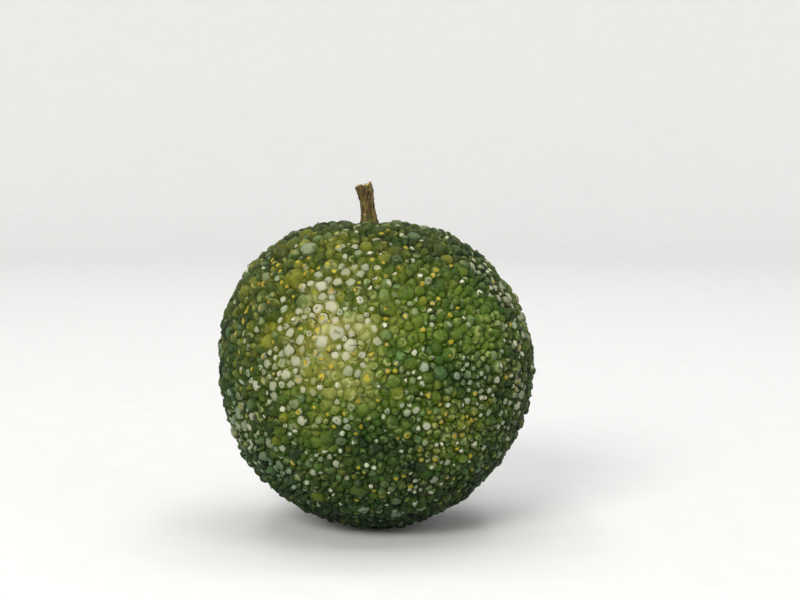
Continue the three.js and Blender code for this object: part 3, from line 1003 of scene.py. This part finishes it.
def build_stalk():
    """A woody stub: ribbed bark with lenticels, a flare at the foot and a torn, fibrous end."""
    g = np.random.default_rng(611)
    sides, rows, cap = 96, 84, 11
    h = np.array([p[0] for p in STALK_PROFILE], float)
    w = np.array([p[1] for p in STALK_PROFILE], float)
    ang = np.arange(sides) / sides * 2 * math.pi
    rings, ends = [], []
    ribs = sum(
        a * np.cos(n * ang + ph) for n, a, ph in ((3, 0.10, 0.6), (5, 0.05, 2.1), (7, 0.06, 4.0), (11, 0.045, 1.0), (17, 0.03, 5.1))
    )
    rim = 0.32 * field(np.stack([np.cos(ang) * 3, np.sin(ang) * 3, 0 * ang], 1), 2.6, 612) + 0.22 * field(
        np.stack([np.cos(ang) * 3, np.sin(ang) * 3, 0 * ang], 1), 0.9, 613
    )
    for k in range(rows):
        t = k / (rows - 1)
        z = t * STALK_LENGTH
        r = np.interp(z, h, w)
        p = np.stack([np.cos(ang) * r, np.sin(ang) * r, np.full(sides, z)], 1)
        bark = 0.10 * field(p * np.array([1, 1, 0.22]), 1.5, 614) + 0.05 * field(p * np.array([1, 1, 0.35]), 0.7, 615)
        node = 0.16 * math.exp(-(((z - 10.6) / 0.5) ** 2)) + 0.12 * math.exp(-(((z - 4.6) / 0.4) ** 2))
        root = 0.22 * math.exp(-((z / 2.2) ** 2)) * np.cos(6 * ang + 0.8)
        rad = r * (1 + ribs * smoothstep(0.5, 4, z) * 0.9) + bark + node + root
        top = z + (rim - 0.15) * smoothstep(0.86, 1.0, t)
        rings.append(np.stack([np.cos(ang) * rad, np.sin(ang) * rad, top], 1))
        ends.append(np.full(sides, 0.0))
    edge = rings[-1]
    for k in range(1, cap):
        f = 1 - k / cap
        p = edge * np.array([f, f, 1])
        p[:, 2] = STALK_LENGTH - 0.15 + rim * f**3 - 0.55 * (1 - f**2) + 0.18 * field(p * np.array([1, 1, 0]), 0.8, 616)
        rings.append(p)
        ends.append(np.full(sides, min(1.0, 0.55 + k * 0.2)))
    v = np.concatenate(rings)
    end = np.concatenate(ends)
    total = len(rings)
    v = np.vstack([v, [[0, 0, STALK_LENGTH - 0.75]], [[0, 0, 0.05]]])
    end = np.append(end, [1, 0])
    t = np.clip(v[:, 2] / STALK_LENGTH, 0, 1.05)
    v[:, 2] += smoothstep(0.8, 1.0, t) * v[:, 0] * 0.22
    v[:, 0] -= 2.1 * t * t
    v[:, 1] += 0.5 * np.sin(t * 2.4)
    v += np.array([stalk_foot[0], stalk_foot[1], stalk_foot[2] - 0.25])
    fs = []
    for k in range(total - 1):
        for i in range(sides):
            j = (i + 1) % sides
            a, b, c, d = k * sides + i, k * sides + j, (k + 1) * sides + j, (k + 1) * sides + i
            fs += [(a, b, c), (a, c, d)]
    tip, foot = total * sides, total * sides + 1
    for i in range(sides):
        j = (i + 1) % sides
        fs.append(((total - 1) * sides + i, (total - 1) * sides + j, tip))
        fs.append((j, i, foot))
    return v, fs, end, rows


stalk_v, stalk_f, stalk_end, stalk_rows = build_stalk()
stalk = mesh_object("stalk_bark", stalk_v, stalk_f)
add_point_float(stalk.data, "broken", stalk_end)


def bark_material():
    m = Nodes("stalk_bark")
    pos = m.node("ShaderNodeTexCoord").outputs["Object"]
    broken = m.attribute("broken", "Fac")
    along = m.node("ShaderNodeMapping")
    m.link(pos, along.inputs["Vector"])
    along.inputs["Scale"].default_value = (1, 1, 0.16)
    streak = m.noise(along.outputs[0], 1500, 4, 0.6)
    patch = m.noise(pos, 260, 3, 0.55)
    grain = m.noise(pos, 2600, 2, 0.5)
    colour = m.ramp(streak, ((0.3, srgb(34, 27, 14)), (0.48, srgb(66, 54, 27)), (0.6, srgb(98, 82, 44)), (0.75, srgb(128, 110, 66))))
    colour = m.mix(m.step(patch, 0.5, 0.68, 0, 0.6), colour, srgb(82, 88, 34))
    colour = m.mix(m.step(patch, 0.5, 0.34, 0, 0.45), colour, srgb(44, 30, 16))
    # Lenticels: small corky dots.
    cells = m.node("ShaderNodeTexVoronoi")
    squash = m.node("ShaderNodeMapping")
    m.link(pos, squash.inputs["Vector"])
    squash.inputs["Scale"].default_value = (1, 1, 1.9)
    m.link(squash.outputs[0], cells.inputs["Vector"])
    cells.inputs["Scale"].default_value = 620
    own = m.split(cells.outputs["Color"])
    small = m.math("ADD", cells.outputs["Distance"], m.span(own[1], 0, 1, -0.06, 0.16))
    small = m.math("ADD", small, m.span(grain, 0.3, 0.7, -0.05, 0.05))
    dot = m.step(small, 0.16, 0.3, 1, 0)
    dot = m.math("MULTIPLY", dot, m.step(own[0], 0.58, 0.66))
    colour = m.mix(m.math("MULTIPLY", dot, 0.75), colour, srgb(172, 152, 104))
    # The torn end: pale wood, darker towards the rim and at the pith.
    wood = m.ramp(grain, ((0.3, srgb(150, 122, 72)), (0.7, srgb(206, 180, 122))))
    wood = m.mix(m.step(streak, 0.52, 0.7, 0, 0.5), wood, srgb(104, 78, 40))
    colour = m.mix(m.step(broken, 0.35, 0.8), colour, wood)
    m.feed(m.bsdf.inputs["Base Color"], colour)
    m.feed(m.bsdf.inputs["Roughness"], m.span(grain, 0.3, 0.7, 0.72, 0.9))
    m.bsdf.inputs["Specular IOR Level"].default_value = 0.25
    height = m.math("ADD", streak, m.math("MULTIPLY", grain, 0.35))
    height = m.math("ADD", height, m.math("MULTIPLY", dot, 0.5))
    m.feed(m.bsdf.inputs["Normal"], m.bump(height, 0.8, 0.0003))
    return m.mat


stalk.data.materials.append(bark_material())
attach(stalk, "root")
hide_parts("stalk")


# ---- The dried styles ---------------------------------------------------------------------------


def build_styles():
    """Thin threads that each grew out of a nub. Most have dropped; the rest lie curled on the skin."""
    g = np.random.default_rng(3307)
    tree = BVHTree.FromPolygons([Vector(p) for p in co], [tuple(int(i) for i in f) for f in faces])
    middle = Vector(CENTRE)

    def skin_radius(d):
        d = Vector(d)
        hit, _, _, _ = tree.ray_cast(middle + d * 80, -d)
        return (hit - middle).length

    off = np.arccos(np.clip(nub_dir @ AXIS, -1, 1))
    fit = (nub_dir[:, 2] > -0.9) & (off > 0.16) & (pale < 0.5)
    chosen = g.choice(np.nonzero(fit)[0], STYLES, replace=False)
    t1, t2 = tangents(nub_dir)
    verts, fs = [], []
    steps = 9
    for i in chosen:
        length = g.uniform(1.5, 4.2)
        thick = g.uniform(0.12, 0.20)
        heading = g.uniform(0, 2 * math.pi)
        curl = g.normal() * 1.5
        lift = g.uniform(0.05, 0.4)
        p = nub_dir[i] + (t1[i] * g.normal() + t2[i] * g.normal()) * 0.2 / 56
        line = []
        for k in range(steps):
            a = heading + curl * k / (steps - 1)
            if k:
                p = p + (t1[i] * math.cos(a) + t2[i] * math.sin(a)) * length / (steps - 1) / 56
            p = unit(p)
            line.append(p)
        # The thread rests on the tops it crosses and bridges the creases.
        rad = np.array([skin_radius(d) for d in line])
        rest = np.array([max(rad[max(0, k - 1) : k + 2].mean(), rad[k]) for k in range(steps)])
        u = np.linspace(0, 1, steps)
        rest = rest + thick * 0.6 + lift * np.sin(math.pi * np.minimum(1, u * 1.05))
        rest[0] = rad[0] - 0.25
        rest[-1] = rad[-1] + thick * 0.3
        path = np.array(line) * rest[:, None]
        for k in range(steps):
            ahead = unit(path[min(k + 1, steps - 1)] - path[max(k - 1, 0)])
            up = unit(path[k])
            side = unit(np.cross(ahead, up))
            up = np.cross(side, ahead)
            r = thick * (1 - 0.7 * k / (steps - 1))
            for q in range(5):
                b = q * math.pi * 0.4
                verts.append(path[k] + (side * math.cos(b) + up * math.sin(b)) * r)
        base = len(verts) - steps * 5
        for k in range(steps - 1):
            for q in range(5):
                q2 = (q + 1) % 5
                a, b = base + k * 5 + q, base + k * 5 + q2
                c, d = b + 5, a + 5
                fs += [(a, c, b), (a, d, c)]
        fs += [(base, base + q, base + q + 1) for q in (1, 2, 3)]
        e = base + (steps - 1) * 5
        fs += [(e, e + q + 1, e + q) for q in (1, 2, 3)]
    return np.array(verts) + CENTRE, fs


STYLES = 460
styles_v, styles_f = build_styles()
styles_v[:, 2] = np.maximum(styles_v[:, 2], 0.1)
styles = mesh_object("dried_styles", styles_v, styles_f)


def style_material():
    m = Nodes("dried_styles")
    pos = m.node("ShaderNodeTexCoord").outputs["Object"]
    n = m.noise(pos, 180, 2, 0.5)
    m.feed(m.bsdf.inputs["Base Color"], m.ramp(n, ((0.4, srgb(18, 15, 8)), (0.6, srgb(38, 30, 15)), (0.75, srgb(74, 60, 32)))))
    m.feed(m.bsdf.inputs["Roughness"], m.span(m.noise(pos, 900, 2, 0.5), 0.3, 0.7, 0.6, 0.8))
    m.feed(m.bsdf.inputs["Normal"], m.bump(m.noise(pos, 4000, 2, 0.5), 0.5, 0.00005))
    return m.mat


styles.data.materials.append(style_material())
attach(styles, "root")


# ---- Stage, lights and camera -----------------------------------------------------------------


def stage_material():
    m = Nodes("stage_paper")
    pos = m.node("ShaderNodeTexCoord").outputs["Object"]
    n = m.noise(pos, 60, 2, 0.5)
    m.feed(m.bsdf.inputs["Base Color"], m.ramp(n, ((0.3, (0.635, 0.635, 0.63)), (0.7, (0.65, 0.65, 0.645)))))
    m.bsdf.inputs["Roughness"].default_value = 0.9
    m.bsdf.inputs["Specular IOR Level"].default_value = 0.1
    return m.mat


def sweep():
    """A round floor whose rim curves up into a wall, so that every side has the same plain ground."""
    profile = [(0.0, 0.0), (0.35, 0.0), (0.8, 0.0), (1.25, 0.0)]
    for k in range(1, 13):
        a = k / 12 * math.pi / 2
        profile.append((1.25 + 0.65 * math.sin(a), 0.65 - 0.65 * math.cos(a)))
    profile.append((1.9, 1.5))
    sides = 96
    co, fs = [(0, 0, 0)], []
    for r, z in profile[1:]:
        for k in range(sides):
            a = 2 * math.pi * k / sides
            co.append((r * math.cos(a) / MM, r * math.sin(a) / MM, z / MM))
    for k in range(sides):
        k2 = (k + 1) % sides
        fs.append((0, 1 + k, 1 + k2, 1 + k2))
        for i in range(len(profile) - 2):
            a, b = 1 + i * sides, 1 + (i + 1) * sides
            fs.append((a + k, b + k, b + k2, a + k2))
    hub = [f[:3] for f in fs if f[0] == 0]
    rest = [f for f in fs if f[0]]
    me = bpy.data.meshes.new("backdrop")
    me.from_pydata([tuple(c * MM for c in p) for p in co], [], hub + rest)
    me.polygons.foreach_set("use_smooth", np.ones(len(me.polygons), bool))
    obj = bpy.data.objects.new("backdrop", me)
    bpy.context.scene.collection.objects.link(obj)
    return obj


floor = sweep()
floor.data.materials.append(stage_material())


def area_light(name, where, aim, size, power, colour=(1, 1, 1)):
    data = bpy.data.lights.new(name, "AREA")
    data.shape = "RECTANGLE"
    data.size, data.size_y = size
    data.energy = power
    data.color = colour
    obj = bpy.data.objects.new(name, data)
    obj.location = where
    obj.rotation_euler = (Vector(aim) - Vector(where)).to_track_quat("-Z", "Y").to_euler()
    obj.visible_camera = False
    bpy.context.scene.collection.objects.link(obj)
    return obj


middle = Vector((0, 0, 0.055))
area_light("key", (-0.71, -1.61, 1.01), middle, (0.85, 0.85), 41.0, (1, 0.985, 0.95))
area_light("fill", (1.35, -1.0, 0.62), middle, (1.0, 1.0), 2.2, (0.96, 0.98, 1))
area_light("top", (0.1, 0.25, 1.3), middle, (1.4, 1.4), 7)
# Four high lights face outwards and only wash the wall behind the fruit, whichever side it is seen from.
for k, power in enumerate((10.0, 12.5, 10.0, 10.0)):
    turn = k * math.pi / 2
    out = Vector((math.cos(turn), math.sin(turn), 0))
    area_light("wall_wash_%d" % k, out * 0.5 + Vector((0, 0, 1.5)), out * 1.9 + Vector((0, 0, 0.45)), (1.6, 0.3), power)

world = bpy.data.worlds.new("studio")
bpy.context.scene.world = world
world.use_nodes = True
world.node_tree.nodes["Background"].inputs["Color"].default_value = (0.96, 0.97, 1.0, 1)
world.node_tree.nodes["Background"].inputs["Strength"].default_value = 0.13

cam_data = bpy.data.cameras.new("camera")
cam_data.lens = 85
cam_data.sensor_width = 36
cam = bpy.data.objects.new("camera", cam_data)
bpy.context.scene.collection.objects.link(cam)
bpy.context.scene.camera = cam
ELEVATION = math.radians(8)
DISTANCE = 0.672
aim = Vector((-0.0008, 0.0, 0.0545))
direction = Vector((0, -math.cos(ELEVATION), math.sin(ELEVATION)))
cam.location = aim + direction * DISTANCE
cam.rotation_euler = (-direction).to_track_quat("-Z", "Y").to_euler()
cam_data.shift_x = (400 - 377) / 800
cam_data.shift_y = (374 - 300) / 800

bpy.context.scene.view_settings.view_transform = "Standard"
